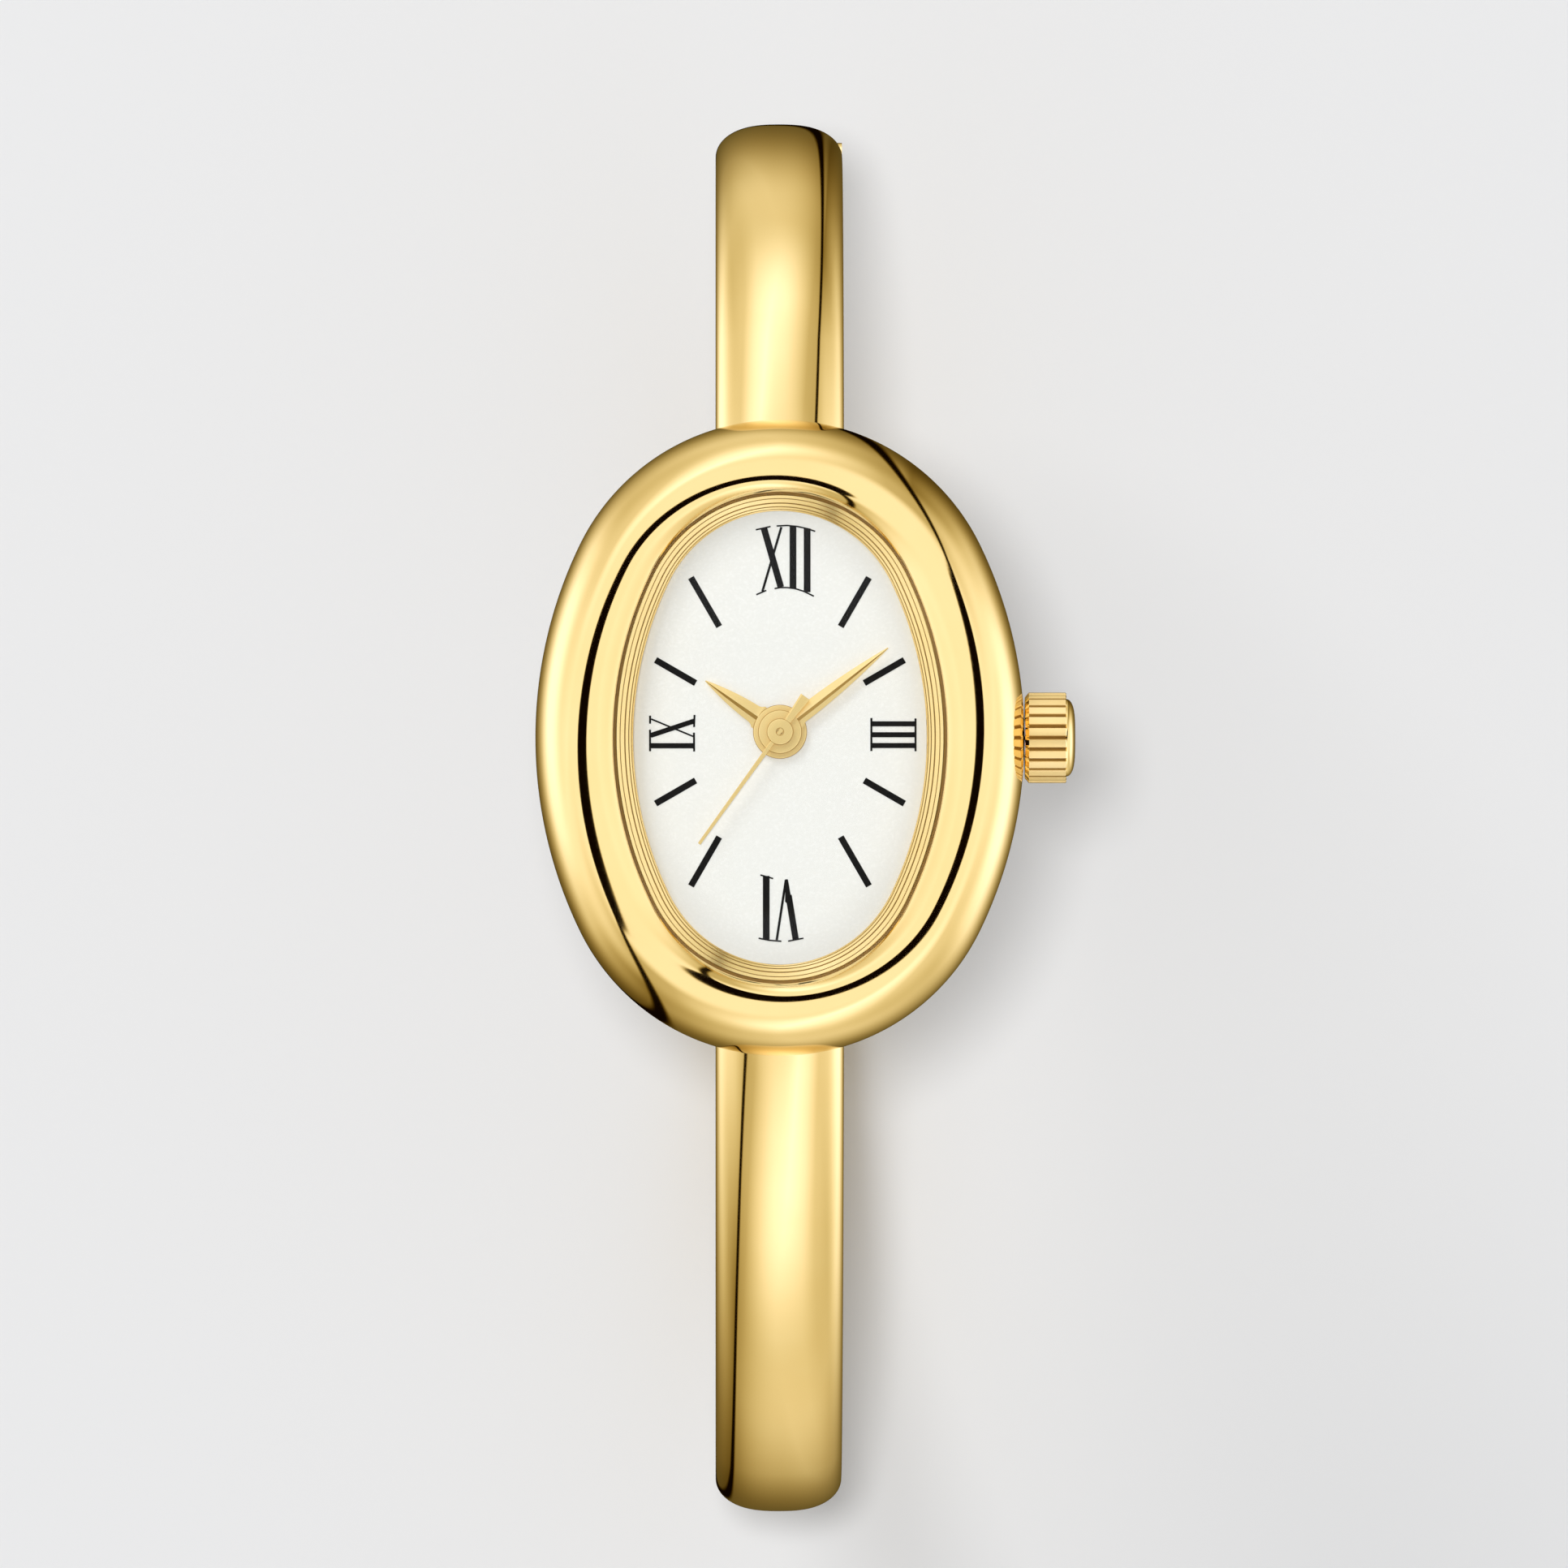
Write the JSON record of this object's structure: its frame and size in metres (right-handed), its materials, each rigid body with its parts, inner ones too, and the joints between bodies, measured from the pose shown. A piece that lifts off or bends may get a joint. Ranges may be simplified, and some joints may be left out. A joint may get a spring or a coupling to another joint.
{
  "type": "oval bangle watch",
  "caption": "Bangle watch with an arched oval case, a stepped dial ring, numeral and baton dial, leaf hands, a fluted crown and a hinged gate at the back of the wrist.",
  "frame": {"origin": "centre of the case back's outer face", "axes": "+Z out of the dial towards the viewer, +Y towards 12 o'clock, +X towards the crown at 3 o'clock"},
  "size_m": [0.0227, 0.0594, 0.0498],
  "materials": {
    "polished_gold": "polished gold plating over steel",
    "brushed_gold": "brushed gold plating over steel",
    "mineral_glass": "clear mineral glass",
    "black_rubber": "matt",
    "white_lacquer": "satin white lacquer over brass",
    "black_ink": "printed ink",
    "amber_nylon": "moulded nylon, golden brown",
    "ivory_plastic": "moulded plastic",
    "nickel": "nickel plating, fine grained",
    "blued_steel": "dark tempered steel",
    "steel": "turned steel",
    "brass": "bright brass",
    "green_board": "solder mask",
    "black_plastic": "moulded epoxy",
    "copper_wire": "enamelled copper wire",
    "magnet": "sintered magnet on a steel arbor"
  },
  "bodies": {
    "case": {"case_shell": "polished_gold", "case_back": "brushed_gold", "back_gasket": "black_rubber", "crystal": "mineral_glass", "crystal_gasket": "amber_nylon", "dial_ring": "polished_gold", "dial": "white_lacquer", "dial_printing": "black_ink", "movement_ring": "ivory_plastic", "main_plate": "nickel", "train_bridge": "nickel", "bridge_screws": "blued_steel", "button_cell": "steel", "cell_contact": "brass", "circuit_board": "green_board", "quartz_can": "steel", "driver_chip": "black_plastic", "coil_core": "blued_steel", "coil_winding": "copper_wire", "stator": "blued_steel", "crown_tube": "steel", "crown_gasket": "black_rubber", "upper_arm": "polished_gold", "lower_arm": "polished_gold", "arm_screws": "brushed_gold", "hinge_pin": "brushed_gold", "clasp_spring": "steel"},
    "seconds": {"fourth_wheel": "brass", "second_hand": "polished_gold"},
    "third": {"third_wheel": "brass"},
    "center": {"center_wheel": "brass"},
    "step": {"intermediate_wheel": "brass"},
    "rotor": {"rotor": "magnet"},
    "minutes": {"cannon_pinion": "steel", "minute_hand": "polished_gold"},
    "reducer": {"minute_wheel": "brass"},
    "hours": {"hour_wheel": "brass", "hour_hand": "polished_gold"},
    "setting": {"setting_lever": "steel"},
    "crown": {"crown": "polished_gold", "stem": "steel", "sliding_pinion": "brass"},
    "gate": {"back_gate": "polished_gold"},
    "button": {"clasp_button": "polished_gold"}
  },
  "joints": [
    {"name": "second_hand_turn", "type": "hinge", "parent": "case", "child": "seconds", "pos_m": [0, 0.00025, 0.003], "axis": [0, 0, -1], "continuous": true},
    {"name": "third_wheel_turn", "type": "hinge", "parent": "case", "child": "third", "pos_m": [0.00294, 0.00195, 0.003], "axis": [0, 0, -1], "continuous": true},
    {"name": "center_wheel_turn", "type": "hinge", "parent": "case", "child": "center", "pos_m": [0, 0.00025, 0.003], "axis": [0, 0, -1], "continuous": true},
    {"name": "intermediate_wheel_turn", "type": "hinge", "parent": "case", "child": "step", "pos_m": [-0.00229, 0.00157, 0.003], "axis": [0, 0, -1], "continuous": true},
    {"name": "rotor_turn", "type": "hinge", "parent": "case", "child": "rotor", "pos_m": [-0.00268, 0.00378, 0.003], "axis": [0, 0, -1], "continuous": true},
    {"name": "minute_hand_turn", "type": "hinge", "parent": "case", "child": "minutes", "pos_m": [0, 0.00025, 0.003], "axis": [0, 0, -1], "continuous": true},
    {"name": "minute_wheel_turn", "type": "hinge", "parent": "case", "child": "reducer", "pos_m": [0.0024, 0.00025, 0.003], "axis": [0, 0, -1], "continuous": true},
    {"name": "hour_hand_turn", "type": "hinge", "parent": "case", "child": "hours", "pos_m": [0, 0.00025, 0.003], "axis": [0, 0, -1], "continuous": true},
    {"name": "crown_pull", "type": "slide", "parent": "case", "child": "setting", "axis": [1, 0, 0], "range_m": [0, 0.0006]},
    {"name": "crown_turn", "type": "hinge", "parent": "setting", "child": "crown", "pos_m": [0.01035, 0, 0.0024], "axis": [1, 0, 0], "continuous": true},
    {"name": "gate_swing", "type": "hinge", "parent": "case", "child": "gate", "pos_m": [0, -0.0316, -0.02765], "axis": [-1, 0, 0], "range_deg": [0, 60]},
    {"name": "clasp_press", "type": "slide", "parent": "case", "child": "button", "axis": [-1, 0, 0], "range_m": [0, 0.00025], "stiffness_N_per_m": 400}
  ],
  "couplings": [
    {"joint": "third_wheel_turn", "follows": "second_hand_turn", "ratio": -0.13333},
    {"joint": "center_wheel_turn", "follows": "second_hand_turn", "ratio": 0.016667},
    {"joint": "intermediate_wheel_turn", "follows": "second_hand_turn", "ratio": -5},
    {"joint": "rotor_turn", "follows": "second_hand_turn", "ratio": 30},
    {"joint": "minute_wheel_turn", "follows": "minute_hand_turn", "ratio": -0.33333},
    {"joint": "hour_hand_turn", "follows": "minute_hand_turn", "ratio": 0.083333}
  ]
}
